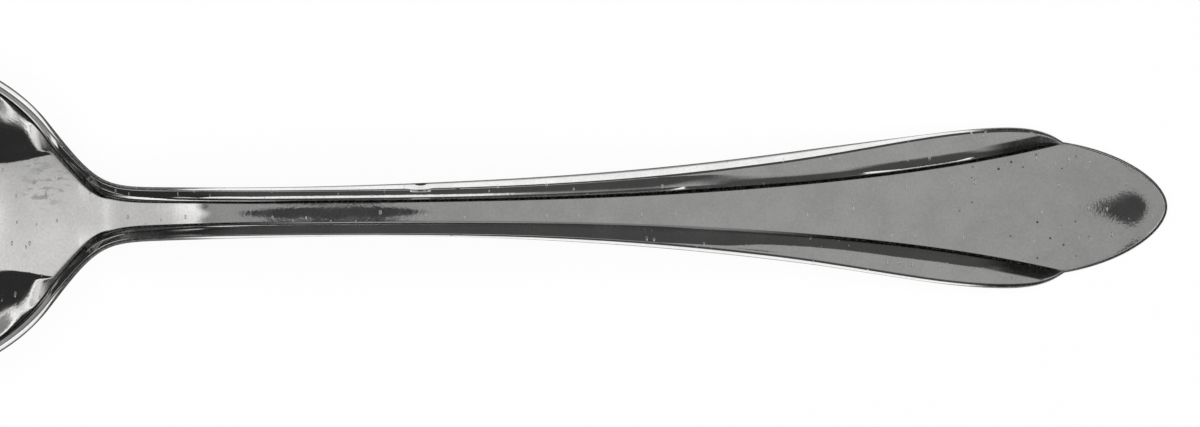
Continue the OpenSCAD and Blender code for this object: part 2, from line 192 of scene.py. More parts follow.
# half width times its slope, turned smoothly past the corner of the shoulder
@lru_cache(maxsize=None)
def lean(x):
    soft, step = 0.4, 0.02
    if x <= xFlank:
        return eggLean(x)
    if abs(x - xCorner) < soft:
        t = ease(x, xCorner - soft, xCorner + soft)
        return (1 - t) * lean(xCorner - soft) + t * lean(xCorner + soft)
    a, b = max(x - step, xFlank), min(x + step, xEnd)
    return (halfWidth(b) ** 2 - halfWidth(a) ** 2) / (2 * (b - a))


# half width of a line that runs a distance r inside the outline
def inside(x, r):
    o, g = halfWidth(x), lean(x)
    near = math.sqrt(max(0.0, o * o + 2 * r * r - 2 * r * math.sqrt(o * o + r * r + g * g)))
    if x < xFlank - 3 or x > xCorner + 8:
        return near
    t = ease(x, xFlank - 3, xFlank)
    if x > xCorner + 3:
        t = 1 - ease(x, xCorner + 3, xCorner + 8)
    return (1 - t) * near + t * (o - r * math.hypot(o, g) / o)


# the upper edge: a small round, then a drafted side. both are small at the corners of the shoulders
corner = dict(edge=0.14, side=0.1, sideDrop=0.3)
edgeRound = dict(turn=62.0, fromGroove=15.0, fromPoint=17.0)
roundTurn = math.radians(edgeRound["turn"])


# eases a size along the blank, from each piece's own value to the next
def along(x, key):
    return chain(x, [(xHeel - 9, bowl[key]), (xHeel + 2, neck[key]), (xNarrow, stem[key]),
                     (xWing, handle[key]), (xCorner - 5, handle[key]), (xCorner, corner[key]),
                     (xCorner + 3, terminal[key])])


def edgeRadius(x):
    return along(x, "edge")


def sideRun(x):
    return min(along(x, "side"), chain(x, [(xCorner - 28, handle["side"]), (xCorner - 9, corner["side"])]))


def sideDrop(x):
    return along(x, "sideDrop")


# a knife edge where the groove reaches the side, and a full round where there is a flat beside it
def roundFrom(x):
    return math.radians(chain(x, [(xHeel - 4, 0.0), (xHeel, edgeRound["fromGroove"]),
                                  (xWing - 3, edgeRound["fromGroove"]), (xWing + 3, 0.0), (xCorner - 1, 0.0),
                                  (xCorner + 1, edgeRound["fromPoint"])]))


def edgeRun(x):
    return sideRun(x) + edgeRadius(x) * (math.sin(roundTurn) - math.sin(roundFrom(x)))


# the panel's flat top stops short of its outline by an inset, and keeps clear of the blank's edge
panel = dict(inset=0.065, insetWide=0.1, border=0.02, clear=0.04, soft=0.08)


# edge of the dish, or of the panel's flat top
@lru_cache(maxsize=None)
def faceHalf(x):
    inset = chain(x, [(xHeel - 4, 0.0), (xHeel + 4, panel["inset"]), (xFlare, panel["inset"]),
                      (xWing, panel["insetWide"])])
    if x < xNarrow - 5:
        border = chain(x, [(xHeel - 1, bowl["rimWidth"] + panel["border"]),
                           (xHeel + 2, stemHalf - panelHalf + panel["border"])])
        return inside(x, border) - inset
    line = panelHalf if x < xFlare - 6.5 else bezierAt(panelCurve, min(x, xCorner))
    return -softMax(inset - line, panel["clear"] - inside(x, edgeRun(x)), panel["soft"])


# the grooves beside the panel: widths, then depth as a share of the width, and the share of that depth at
# the neck, where the die was worn and near the end. the riser next to the panel is a share of the width, and
# roundOver is the share of it that turns over from the panel. start is how steep the cove is at its foot
groove = dict(widthNeck=2.5, widthStem=1.65, width=1.39, depth=0.255, deepNeck=1.12, deepWorn=0.68,
              deepLate=0.95, deepEnd=0.6, riserNeck=0.5, riserMid=0.41, riser=0.38, roundOver=0.55,
              startNeck=0.3, start=0.5, startWing=1.5, fillet=0.1)


# how much of the groove there is beside the face: none along the rim, all of it from the neck on
def grooveShare(x):
    return ease(x, xHeel - 4, xHeel + 0.5)


def grooveWidth(x):
    return chain(x, [(xNeck, groove["widthNeck"]), (xNarrow, groove["widthStem"]),
                     (xWing + 2, groove["widthStem"]), (xWing + 14, groove["width"])])


# shallower where the die was worn
def grooveDepth(x):
    return groove["depth"] * chain(x, [(xNeck + 4, groove["deepNeck"]), (xNarrow, 1.0), (xWing - 2, 1.0),
                                       (xWing + 2, groove["deepWorn"]), (xWing + 15, groove["deepWorn"]),
                                       (xCorner - 15, groove["deepLate"]), (xCorner - 11, groove["deepLate"]),
                                       (xCorner - 6, groove["deepEnd"])])


def riserShare(x):
    return chain(x, [(xHeel + 5, groove["riserNeck"]), (xNeck + 3, groove["riserMid"]),
                     (xNarrow, groove["riser"])])


# the riser rounds over from the panel and then falls straight
def riserFall(s):
    k = groove["roundOver"]
    return s * s / (k * (2 - k)) if s < k else (k + 2 * (s - k)) / (2 - k)


def coveStart(x):
    return chain(x, [(xNeck - 0.5, 1.0), (xNeck + 2.5, groove["startNeck"]), (xNeck + 5, groove["startNeck"]),
                     (xNarrow - 4, groove["start"]), (xWing - 1, groove["start"]),
                     (xWing + 9, groove["startWing"])])


# softens the turn from cove to wing flat
def wingFillet(x):
    return groove["fillet"] * ease(x, xWing + 1, xWing + 9) * (1 - ease(x, xCorner - 6, xCorner - 2))


def edgeThick(x):
    return chain(x, [(xHeel - 12, bowl["rimThick"]), (xHeel + 4, neck["edgeThick"]),
                     (xNarrow, stem["edgeThick"]), (xWing, handle["edgeThick"]),
                     (xCorner, terminal["edgeThick"])])


def fullThick(x):
    return chain(x, [(xHeel + 4, neck["thick"]), (xNarrow, stem["thick"]), (xWing, handle["thick"]),
                     (xCorner, terminal["thick"]), (xEnd, 0.92 * terminal["thick"])])


# the panel is a little domed on the stem, flat along the handle and fuller at the end
def crown(x):
    c = chain(x, [(xHeel, 0.0), (xNeck + 4, stem["crown"]), (xFlare, stem["crown"]), (xFlare + 14, 0.0),
                  (xCorner - 12, 0.0), (xCorner, terminal["crown"])])
    return c if x < xCorner else c * (1 - ((x - xCorner) / (xEnd - xCorner)) ** 2)


# side view: where each bend begins and ends. the handle's fall is solved so that it meets the table
turns = dict(heel=(xHeel - 0.1, xHeel + 4.1), shoulder=(xHeel + 6.3, xHeel + 15.8),
             crest=(xNarrow - 6.5, xNarrow - 1), fall=(xNarrow - 2.5, xNarrow + 33.5),
             settle=(xCorner - 15.7, xCorner + 8.3), tip=(xCorner + 4.3, xCorner + 11.3))
slopeRise = math.tan(math.radians(neck["rise"]))
slopeShoulder = math.tan(math.radians(stem["shoulder"]))
slopeCrest = math.tan(math.radians(stem["crest"]))
slopeEnd = math.tan(math.radians(terminal["rise"]))
slopeLast = math.tan(math.radians(terminal["settle"]))
zRim = bowl["depth"] + bowl["wall"] - bowl["wear"]


def bends(x, fall):
    return (zRim + bowl["rimLift"] * (1 - ease(x, xTip - 4, xTip + 0.55 * bowl["length"]))
            + slopeRise * easeSum(x, *turns["heel"])
            + (slopeShoulder - slopeRise) * easeSum(x, *turns["shoulder"])
            + (slopeCrest - slopeShoulder) * easeSum(x, *turns["crest"])
            + (fall - slopeCrest) * easeSum(x, *turns["fall"])
            + (slopeLast - fall) * easeSum(x, *turns["settle"])
            + (slopeEnd - slopeLast) * easeSum(x, *turns["tip"]) - crown(x))


level = bends(xRest, 0)
slopeFall = (fullThick(xRest) - terminal["wear"] - level) / (bends(xRest, 1) - level)


# height of the dish's or the panel's edge
@lru_cache(maxsize=None)
def edgeZ(x):
    return bends(x, slopeFall)


# depth along the bowl as a share, deepest a little towards the heel
def bulge(x, a, b):
    s = (x - (a + b) / 2) / ((b - a) / 2)
    return (1 - s * s) * (1 + bowl["skew"] * s)


# the dish leaves its curve at a tangent and runs up the neck as a straight ramp
dishFrom, dishTo = xTip + bowl["rimWidth"], xHeel + 0.3
dishHalf = (dishTo - dishFrom) / 2
rampSlope = math.tan(math.radians(bowl["ramp"]))
skew3 = 3 * bowl["skew"]
rampAt = (math.sqrt(1 + skew3 * (bowl["skew"] + rampSlope * dishHalf / bowl["depth"])) - 1) / skew3
xRamp = (dishFrom + dishTo) / 2 + dishHalf * rampAt
zRamp = edgeZ(xRamp) - bowl["depth"] * bulge(xRamp, dishFrom, dishTo)


@lru_cache(maxsize=None)
def hollow(x):
    if x >= xHeel + 4.5:
        return 0.0
    if x < xRamp:
        return bowl["depth"] * bulge(x, dishFrom, dishTo)
    deep = softMax(edgeZ(x) - zRamp - rampSlope * (x - xRamp), 0, bowl["heelSoft"] * ease(x, xRamp, xHeel))
    return deep * (1 - ease(x, xHeel + 2.5, xHeel + 4.5))


# how far the back's middle lies below its edge. the bowl's round blends into the neck, and the little that
# the blend adds is gone at the stem's narrowest place
@lru_cache(maxsize=None)
def backDrop(x):
    soft = 1.6
    out = bowl["depth"] + bowl["wall"] - bowl["rimThick"]
    toNeck = ease(x, xMid, xHeel + 2)
    if x < xNeck:
        return softMax(out * bulge(x, xTip, xHeel + 1.2), toNeck * (fullThick(x) - edgeThick(x)),
                       soft * toNeck)
    return fullThick(x) - edgeThick(x) + soft * soft / 4 / out * (1 - ease(x, xNeck, xNarrow)) / 1.2


# a round section
def bow(q):
    return 1 - 0.8 * q ** 2 - 0.2 * q ** 4


# towards the heel the bowl's walls stand steeper, with a broad and slightly hollow ramp between them
def rampShare(x):
    y = ease(x, xHeel - 11, xHeel - 8) * (bowl["rampHalf"] + bowl["rampSpread"] * (x - xHeel + 7.7))
    return -softMax(-y / faceHalf(x), -0.9, 0.03)


def dishDeep(x, y, q):
    h = hollow(x)
    t = ease(x, xHeel - 11, xHeel - 8)
    if t == 0 or h == 0:
        return h * bow(q)
    bend = bowl["rampHollow"] * t * min(1.0, h)
    s, foot = ease(x, xHeel - 9, xHeel - 4.5), rampShare(x)
    wall = (1 - s) * bow(q) / bow(foot) + s * (1 - q) / (1 - foot)
    wall *= h - bend * (foot * faceHalf(x)) ** 2
    return -softMax(-wall, bend * y * y - h, 0.1 * t * min(1.0, h))


def dome(q):
    return 1 - 1.5 * q ** 2 + 0.5 * q ** 4


# rise of the rim's land, a distance d outside the dish
def landRise(x, d):
    return (1 - grooveShare(x)) * math.tan(math.radians(bowl["landTilt"])) * d


# dish and panel top, with the dish's lip rolled over to the land
def faceZ(x, y, d):
    q = y / max(faceHalf(x), 0.001)
    dish = crown(x) * dome(min(1.0, q)) - dishDeep(x, y, min(1.2, q))
    share = 1 - grooveShare(x)
    if share == 0:
        return edgeZ(x) + dish
    return edgeZ(x) - softMax(-dish, -landRise(x, d), bowl["lipSoft"] * share)


def backZ(x, y):
    return edgeZ(x) - edgeThick(x) - backDrop(x) * bow(min(1.0, y / max(halfWidth(x), 0.001)))


# painted shade and painted reflection, with some tarnish in the grooves: dark lines round the face and down
# the risers where the creases fall in shade, a dark band on the heel, darkness where the grooves run out, and
# the drafted side painted dark as the shadowed table it mirrors. lines in millimetres, heel and runOut in
# strength, riserStem and riserHandle as shares of the riser, and unshadedSide as the share of the drafted
# side left without painted shade from its top down, which is painted dark all over where it is below zero
tarnishAndPaintedShade = dict(lineFrom=0.03, line=0.1, rimLine=0.18, rimFrom=0.08, rimTo=0.2, heel=0.95, runOut=0.9,
               riserStem=0.45, riserHandle=0.75, riserSoft=0.3, unshadedBowl=0.5, unshadedSide=0.6, unshadedNone=-0.3,
               unshadedSoft=0.3)


# painted shade on the heel's walls, between the ramp and the rim, standing for their dark reflection
def heelShade(x):
    return ease(x, xHeel - 4.2, xHeel - 2.8) * (1 - ease(x, xHeel + 2, xHeel + 3))


# painted shade along the grooves at the heel
def heelDark(x):
    return tarnishAndPaintedShade["heel"] * (1 - ease(x, xHeel + 2, xHeel + 5.5))


# painted shade where the grooves run out
def runOutDark(x):
    return tarnishAndPaintedShade["runOut"] * ease(x, xCorner - 9, xCorner - 5)


# how far down the riser the painted shade reaches
def riserLine(x):
    return chain(x, [(xNarrow - 8, tarnishAndPaintedShade["riserStem"]), (xNarrow + 2, tarnishAndPaintedShade["riserHandle"])])


# share of the drafted side left without painted shade; below zero the side is painted dark all over
def unshadedSide(x):
    return chain(x, [(xHeel - 5, tarnishAndPaintedShade["unshadedBowl"]), (xHeel - 1, tarnishAndPaintedShade["unshadedNone"]),
                     (xNeck, tarnishAndPaintedShade["unshadedNone"]), (xNeck + 7, tarnishAndPaintedShade["unshadedSide"]),
                     (xCorner - 14, tarnishAndPaintedShade["unshadedSide"]), (xCorner - 6, tarnishAndPaintedShade["unshadedNone"])])


# steps across half a section, from the middle of the top round to the middle of the back
sampling = dict(face=44, riser=12, cove=14, wing=5, round=9, side=5, under=9, back=18)


# one half section as (x, y, z, trim, shadeAndTarnish, crease). offsets(r) gives the plan point a distance r
# inside the outline, hub is where the section starts, trim says what follows the trimmed outline and
# shadeAndTarnish how dark it is painted, as painted shade and painted reflection with some tarnish in the
# grooves
def sectionColumn(x, hub, offsets, polar):
    n = sampling
    rSide, rEdge, radius = sideRun(x), edgeRun(x), edgeRadius(x)
    if polar:
        rFace = bowl["rimWidth"] if x < 0 else rEdge + panel["clear"]
        room = rFace - rEdge
        rim = offsets(rFace)
        square = 1.0
    else:
        room = inside(x, rEdge) - faceHalf(x)
        rim = (x, faceHalf(x))
        # turns a step across into a distance square to the outline
        square = halfWidth(x) / math.hypot(halfWidth(x), lean(x))
    share = grooveShare(x)
    width = min(grooveWidth(x), room)
    riser = width * riserShare(x)
    run = width - riser
    start = coveStart(x)
    depth = grooveDepth(x) * width * share
    fillet = wingFillet(x)
    lined = 1 - ease(x, xCorner - 1, xCorner + 0.5)
    runOut, lineTo, undarkened = runOutDark(x), riserLine(x), unshadedSide(x)
    shade = heelShade(x)
    wallRun = (1 - rampShare(x)) * faceHalf(x) * square if shade > 0 else 0.0
    out = []

    def put(plan, z, trim=0.0, shadeAndTarnish=0.0, crease=0.0):
        out.append((plan[0], plan[1], z, trim, shadeAndTarnish, crease))

    def beside(d):
        return offsets(rFace - d) if polar else (x, rim[1] + d)

    # dish or panel, with rows closer together towards its edge
    reach = math.hypot(rim[0] - hub[0], rim[1] - hub[1])
    lineEnd = tarnishAndPaintedShade["line"] + (tarnishAndPaintedShade["rimLine"] - tarnishAndPaintedShade["line"]) * (1 - share)
    for i in range(n["face"] + 1):
        t = 1 - (1 - i / n["face"]) ** 1.8
        p = (hub[0] + t * (rim[0] - hub[0]), hub[1] + t * (rim[1] - hub[1]))
        inward = (1 - t) * reach * square
        # painted shade: a dark line round the face's edge, and painted dark reflection on the heel's walls
        dark = 1 - ease(inward, tarnishAndPaintedShade["lineFrom"], lineEnd)
        if shade > 0:
            dark = max(dark, shade * (1 - ease(inward, 0.75 * wallRun, wallRun)))
        put(p, faceZ(p[0], p[1], -inward), 0, lined * dark)
    # riser of the groove, or the inner part of the rim's land
    for i in range(1, n["riser"] + 1):
        s = i / n["riser"]
        p = beside(riser * s)
        # painted shade down the riser's top, where the grooves run out and at the heel, and a painted dark
        # line on the rim's land
        grooveDark = max(1 - ease(s, lineTo - tarnishAndPaintedShade["riserSoft"], lineTo), runOut, heelDark(x))
        rimDark = 1 - ease(riser * s * square, tarnishAndPaintedShade["rimFrom"], tarnishAndPaintedShade["rimTo"])
        put(p, faceZ(p[0], p[1], riser * s * square) - depth * riserFall(s), 0,
            lined * (share * grooveDark + (1 - share) * rimDark), 1.0 if s == 1 and depth > 0.02 else 0.0)
    # cove
    for i in range(1, n["cove"] + 1):
        u = i / n["cove"]
        d = riser + run * u
        p = beside(d)
        cove = depth * (1 - start * u - (1 - start) * u * u)
        if fillet:
            cove = softMax(cove, 0, fillet * ease(u, 0, 0.6))
        # painted shade in the cove where the grooves run out
        put(p, edgeZ(p[0]) + landRise(x, d * square) - cove, 0,
            lined * share * runOut * (1 - ease(u, 0.8, 1)),
            1.0 if u == 1 and depth > 0.02 and not fillet else 0.0)
    # wing flat
    for i in range(1, n["wing"]):
        d = width + (room - width) * i / n["wing"]
        p = beside(d)
        over = (2 - start) * depth * (d - width) / run
        put(p, edgeZ(p[0]) + landRise(x, d * square) - (softMax(-over, 0, fillet) if fillet else 0))
    # round of the upper edge
    top = landRise(x, room * square)
    first = roundFrom(x)
    if x > 0:
        first += math.atan((1 - min(1.0, width / 0.5)) * crown(x) / max(halfWidth(x), 0.5))
    last = roundTurn
    # painted dark outline on the round, standing for the shadowed table mirrored at the silhouette
    outline = 1 - ease(undarkened, tarnishAndPaintedShade["unshadedNone"], 0.1)
    for i in range(n["round"] + 1):
        a = first + (last - first) * i / n["round"]
        p = offsets(rSide + radius * (math.sin(last) - math.sin(a)))
        put(p, edgeZ(p[0]) + top - radius * (math.cos(first) - math.cos(a)), 0,
            outline * ease(i / n["round"], 0.3, 0.6))
    # drafted side, painted dark below its undarkened share as a painted reflection of the shadowed table
    low = top - radius * (math.cos(first) - math.cos(last))
    for i in range(1, n["side"] + 1):
        s = i / n["side"]
        p = offsets(rSide * (1 - s))
        put(p, edgeZ(p[0]) + low - sideDrop(x) * s, s, ease(s, undarkened, undarkened + tarnishAndPaintedShade["unshadedSoft"]))
    # round under the edge, and the back
    ur = min(1.1, 0.8 * edgeThick(x))
    for i in range(1, n["under"] + 1):
        a = math.radians(90 - 90 * i / n["under"])
        p = offsets(ur * (1 - math.sin(a)))
        rise = edgeThick(p[0]) + low - sideDrop(x)
        put(p, max(0.0, backZ(*p) + rise * (1 - math.cos(a))), 1.0)
    rim = offsets(ur)
    for i in range(n["back"] - 1, -1, -1):
        t = i / n["back"]
        p = (hub[0] + t * (rim[0] - hub[0]), hub[1] + t * (rim[1] - hub[1]))
        put(p, max(0.0, backZ(*p)), 1.0)
    return out


def crossColumn(x):
    return sectionColumn(x, (x, 0.0), lambda r: (x, inside(x, r)), False)


# a column that runs from a hub out to the rounded end, along the outline's own normal
def fanColumn(x, y, nx, ny, hubX):
    return sectionColumn(x, (hubX, 0.0), lambda r: (x - r * nx, y - r * ny), True)


def spread(a, b, count, skipFirst=False):
    return [a + (b - a) * i / count for i in range(1 if skipFirst else 0, count + 1)]


# the blank was trimmed a little off the die's middle along the handle, so one side shows more of its edge
def trimShift(x):
    return handle["trim"] * ease(x, xNeck + 2, xNarrow + 18) * (1 - ease(x, xCorner - 26, xCorner - 10))


# painted shade on the near side only: its groove is painted darker at the neck, and its panel edge is painted
# with less shade along the middle
nearGroove = dict(dull=0.85, lessShade=0.35, lessShadeTo=0.7)


def nearMoreShade(x):
    return chain(x, [(xHeel + 3, 0.0), (xHeel + 5.5, nearGroove["dull"]), (xNeck + 0.5, nearGroove["dull"]),
                     (xNeck + 6, 0.0)])


def nearLessShade(x):
    return chain(x, [(xNeck + 6, 1.0), (xNarrow + 3, nearGroove["lessShade"]), (xWing + 3, nearGroove["lessShade"]),
                     (xWing + 16, 1.0)])


# chips off the upper edge: place along the blank, where they start across it, half length and slope
chips = [dict(x=5.6, y=1.9, reach=1.1, slope=0.85)]


# bends a flat grid to the columns, mirrors it and closes the section planes
def blankPiece(name, columns):
    bm = bmesh.new()
    trimLayer = bm.verts.layers.float.new("trim")
    shadeAndTarnishLayer = bm.verts.layers.float.new("shadeAndTarnish")
    creaseLayer = bm.verts.layers.float.new("crease")
    nx, ny = len(columns) - 1, len(columns[0]) - 1
    bmesh.ops.create_grid(bm, x_segments=nx, y_segments=ny, size=0.5)
    for v in bm.verts:
        i, j = round((v.co.x + 0.5) * nx), round((v.co.y + 0.5) * ny)
        x, y, z, v[trimLayer], v[shadeAndTarnishLayer], v[creaseLayer] = columns[i][j]
        v.co = Vector((x, y, z)) * mm
    bmesh.ops.remove_doubles(bm, verts=bm.verts[:], dist=1e-8)
    bmesh.ops.mirror(bm, geom=bm.verts[:] + bm.edges[:] + bm.faces[:], matrix=Matrix(), axis="Y",
                     merge_dist=1e-7)
    bmesh.ops.remove_doubles(bm, verts=bm.verts[:], dist=1e-8)
    for v in bm.verts:
        x = v.co.x / mm
        for chip in chips:
            q = (x - chip["x"]) / chip["reach"]
            if abs(q) < 1 and v.co.y / mm > chip["y"]:
                v.co.z -= chip["slope"] * (v.co.y - chip["y"] * mm) * (1 - q * q) * (1 - v[trimLayer])
        # painted shade and painted light on the near side
        if v.co.y < 0:
            past = -v.co.y / mm - faceHalf(x)
            if past < nearGroove["lessShadeTo"]:
                v[shadeAndTarnishLayer] *= nearLessShade(x)
            if past > 0.02 and v[trimLayer] < 0.5:
                v[shadeAndTarnishLayer] = max(v[shadeAndTarnishLayer], nearMoreShade(x))
        v.co.y += trimShift(x) * v[trimLayer] * mm
    caps = bmesh.ops.holes_fill(bm, edges=[e for e in bm.edges if e.is_boundary], sides=0)["faces"]
    bmesh.ops.recalc_face_normals(bm, faces=bm.faces[:])
    for f in bm.faces:
        f.smooth = True
    for e in bm.edges:
        e.smooth = not all(v[creaseLayer] > 0.5 for v in e.verts)
    for f in caps:
        f.smooth = False
        for e in f.edges:
            e.smooth = False
    for key in ("trim", "crease"):
        bm.verts.layers.float.remove(bm.verts.layers.float[key])
    mesh = bpy.data.meshes.new(name)
    bm.to_mesh(mesh)
    bm.free()
    piece = bpy.data.objects.new(name, mesh)
    bpy.context.collection.objects.link(piece)
    return piece


# sections from one cut to the next, with one close to each cut so that the shading runs on
cutGap = 0.02


def between(a, b, count):
    return [a] + spread(a + cutGap, b - cutGap, count) + [b]


# how many sections each stretch has
rows = dict(tip=80, body=46, heel=48, neck=60, stem=110, handle=190, point=60, pointBack=5)


def makeBowl():
    fan = []
    for i in range(rows["tip"] + 1):
        x = xTip + (xBroad - xTip) * (1 - math.cos(math.pi / 2 * i / rows["tip"]))
        y, g = eggHalf(x), eggLean(x)
        n = math.hypot(g, y)
        fan.append(fanColumn(x, y, -g / n, y / n, xBroad))
    xs = spread(xBroad, xFlank - 2, rows["body"], True)
    xs += spread(xFlank - 2, cuts["neck"] - cutGap, rows["heel"], True) + [cuts["neck"]]
    return blankPiece("spoonBowl", fan + [crossColumn(x) for x in xs])


def makeNeck():
    xs = between(cuts["neck"], cuts["stem"], rows["neck"])
    return blankPiece("spoonNeck", [crossColumn(x) for x in xs])


def makeStem():
    xs = between(cuts["stem"], cuts["handle"], rows["stem"])
    return blankPiece("spoonStem", [crossColumn(x) for x in xs])


def makeHandle():
    xs = between(cuts["handle"], cuts["end"], rows["handle"])
    return blankPiece("spoonHandle", [crossColumn(x) for x in xs])


def makeTerminal():
    fan = []
    upTo = 0.93                                          # share of the point's curve that the fan covers
    hubX = bezier(pointCurve, 1 - upTo)[0]
    for i in range(rows["point"] + 1):
        t = 1 - upTo * i / rows["point"]
        x, y = bezier(pointCurve, t)
        s = 1 - t
        vx, vy = (s * s * (pointCurve[1][k] - pointCurve[0][k])
                  + 2 * s * t * (pointCurve[2][k] - pointCurve[1][k])
                  + t * t * (pointCurve[3][k] - pointCurve[2][k]) for k in (0, 1))
        n = math.hypot(vx, vy)
        fan.append(fanColumn(x, y, -vy / n, vx / n, hubX))
    xs = spread(hubX - 0.4, xCorner + cutGap, rows["pointBack"]) + [xCorner]
    return blankPiece("spoonTerminal", fan + [crossColumn(x) for x in xs])


# silver plate over nickel silver, struck and polished by hand, then used for years: a clear mirror with a
# faint ripple, soft haze, short cross scratches, dark tarnish in smudges and pits, and painted shade and
# painted reflection in the same dark colour along the grooves and edges. patterns go by their size or spacing
# in millimetres, and High is the height of a bump
plate = dict(color="F7F6F5", tarnishAndPaintedShade="1E1D1B", rough=0.045, hazy=0.11, haze=2.857, grain=0.25,
             grainHigh=0.003, ripple=1.25, rippleHigh=0.0045, dash=(1.111, 2.5), dashHigh=0.05,
             dashRough=0.15, tarnishRough=0.3, speck=1.25, speckShare=0.11, smudge=(1.4286, 0.5263),
             smudgeTurn=0.6)
# where tarnish has settled: middle, reach and kind
stains = [dict(at=(-30.6, 3.2, 0), reach=3.2, kind="smudge"), dict(at=(-17.6, 0.6, 0), reach=1.4, kind="pit"),
          dict(at=(64.0, 0.0, 0), reach=9.0, kind="pit")]


def silverPlate():
    mat = bpy.data.materials.new("polishedSilverPlate")
    mat.use_nodes = True
    tree = mat.node_tree
    shader = tree.nodes["Principled BSDF"]
    shader.inputs["Metallic"].default_value = 1.0
    smooth = {"interpolation_type": "SMOOTHSTEP"}
    coord = addNode(tree, "ShaderNodeTexCoord")
    place = addNode(tree, "ShaderNodeMapping", None, {"Scale": (1 / mm, 1 / mm, 1 / mm)},
                    {0: coord.outputs["Object"]}).outputs[0]
    haze = addNode(tree, "ShaderNodeTexNoise", None, {"Scale": 1 / plate["haze"], "Detail": 3.0},
                   {"Vector": place})
    grain = addNode(tree, "ShaderNodeTexNoise", None, {"Scale": 1 / plate["grain"], "Detail": 2.0},
                    {"Vector": place})
    ripple = addNode(tree, "ShaderNodeTexNoise", None, {"Scale": 1 / plate["ripple"], "Detail": 2.5},
                     {"Vector": place})
    # painted shade and painted reflection from the shadeAndTarnish attribute, with some tarnish in the
    # grooves, broken up by the grain
    shadeAndTarnish = addNode(tree, "ShaderNodeAttribute", {"attribute_name": "shadeAndTarnish"})
    uneven = addNode(tree, "ShaderNodeMapRange", None, {1: 0.35, 2: 0.55, 3: 0.9, 4: 1.0},
                     {0: grain.outputs[0]})
    stainAndPaintedShade = addNode(tree, "ShaderNodeMath", {"operation": "MULTIPLY"}, None,
                    {0: shadeAndTarnish.outputs["Fac"], 1: uneven.outputs[0]}).outputs[0]
    # slanting smudges, and pits at scattered points
    slant = addNode(tree, "ShaderNodeMapping", None,
                    {"Rotation": (0, 0, plate["smudgeTurn"]),
                     "Scale": (1 / plate["smudge"][0], 1 / plate["smudge"][1], 0)}, {0: place})
    cloud = addNode(tree, "ShaderNodeTexNoise", None, {"Scale": 1.0, "Detail": 2.0, "Distortion": 0.5},
                    {"Vector": slant.outputs[0]})
    streak = addNode(tree, "ShaderNodeMapRange", None, {1: 0.53, 2: 0.6, 3: 0.0, 4: 1.0},
                     {0: cloud.outputs[0]})
    patchy = addNode(tree, "ShaderNodeMapRange", None, {1: 0.38, 2: 0.5, 3: 0.15, 4: 0.5},
                     {0: haze.outputs[0]})
    smudge = addNode(tree, "ShaderNodeMath", {"operation": "MULTIPLY"}, None,
                     {0: streak.outputs[0], 1: patchy.outputs[0]})
    dots = addNode(tree, "ShaderNodeTexVoronoi", {"voronoi_dimensions": "2D"}, {"Scale": 1 / plate["speck"]},
                   {"Vector": place})
    pick = addNode(tree, "ShaderNodeSeparateXYZ", None, None, {0: dots.outputs["Color"]})
    size = addNode(tree, "ShaderNodeMapRange", None, {1: 0.7, 2: 1.0, 3: 0.0, 4: plate["speckShare"]},
                   {0: pick.outputs["X"]})
    pit = addNode(tree, "ShaderNodeMath", {"operation": "LESS_THAN"}, None,
                  {0: dots.outputs["Distance"], 1: size.outputs[0]})
    kinds = dict(smudge=smudge.outputs[0], pit=pit.outputs[0])
    plan = addNode(tree, "ShaderNodeVectorMath", {"operation": "MULTIPLY"}, {1: (1, 1, 0)}, {0: place})
    for mark in stains:
        off = addNode(tree, "ShaderNodeVectorMath", {"operation": "DISTANCE"}, {1: mark["at"]},
                      {0: plan.outputs[0]})
        near = addNode(tree, "ShaderNodeMapRange", smooth,
                       {1: mark["reach"], 2: 0.4 * mark["reach"], 3: 0.0, 4: 0.8}, {0: off.outputs["Value"]})
        here = addNode(tree, "ShaderNodeMath", {"operation": "MULTIPLY"}, None,
                       {0: near.outputs[0], 1: kinds[mark["kind"]]})
        stainAndPaintedShade = addNode(tree, "ShaderNodeMath", {"operation": "MAXIMUM"}, None,
                        {0: stainAndPaintedShade, 1: here.outputs[0]}).outputs[0]
    # bare silver, a little mottled
    mottle = addNode(tree, "ShaderNodeMath", {"operation": "ADD"}, None,
                     {0: grain.outputs[0], 1: haze.outputs[0]})
    shade = addNode(tree, "ShaderNodeMapRange", None, {1: 0.75, 2: 1.25, 3: 0.89, 4: 1.04},
                    {0: mottle.outputs[0]})
    undarkened = addNode(tree, "ShaderNodeMix", {"data_type": "RGBA", "blend_type": "MULTIPLY"},
                   {0: 1.0, 6: hexColor(plate["color"])}, {7: shade.outputs[0]})
    color = addNode(tree, "ShaderNodeMix", {"data_type": "RGBA"}, {7: hexColor(plate["tarnishAndPaintedShade"])},
                    {0: stainAndPaintedShade, 6: undarkened.outputs[2]})
    tree.links.new(color.outputs[2], shader.inputs["Base Color"])
    # haze, tarnish and the painted shade dull the mirror
    dull = addNode(tree, "ShaderNodeMapRange", None, {1: 0.4, 2: 0.7, 3: plate["rough"], 4: plate["hazy"]},
                   {0: haze.outputs[0]})
    dull = addNode(tree, "ShaderNodeMath", {"operation": "MULTIPLY_ADD"}, {1: plate["tarnishRough"]},
                   {0: stainAndPaintedShade, 2: dull.outputs[0]})
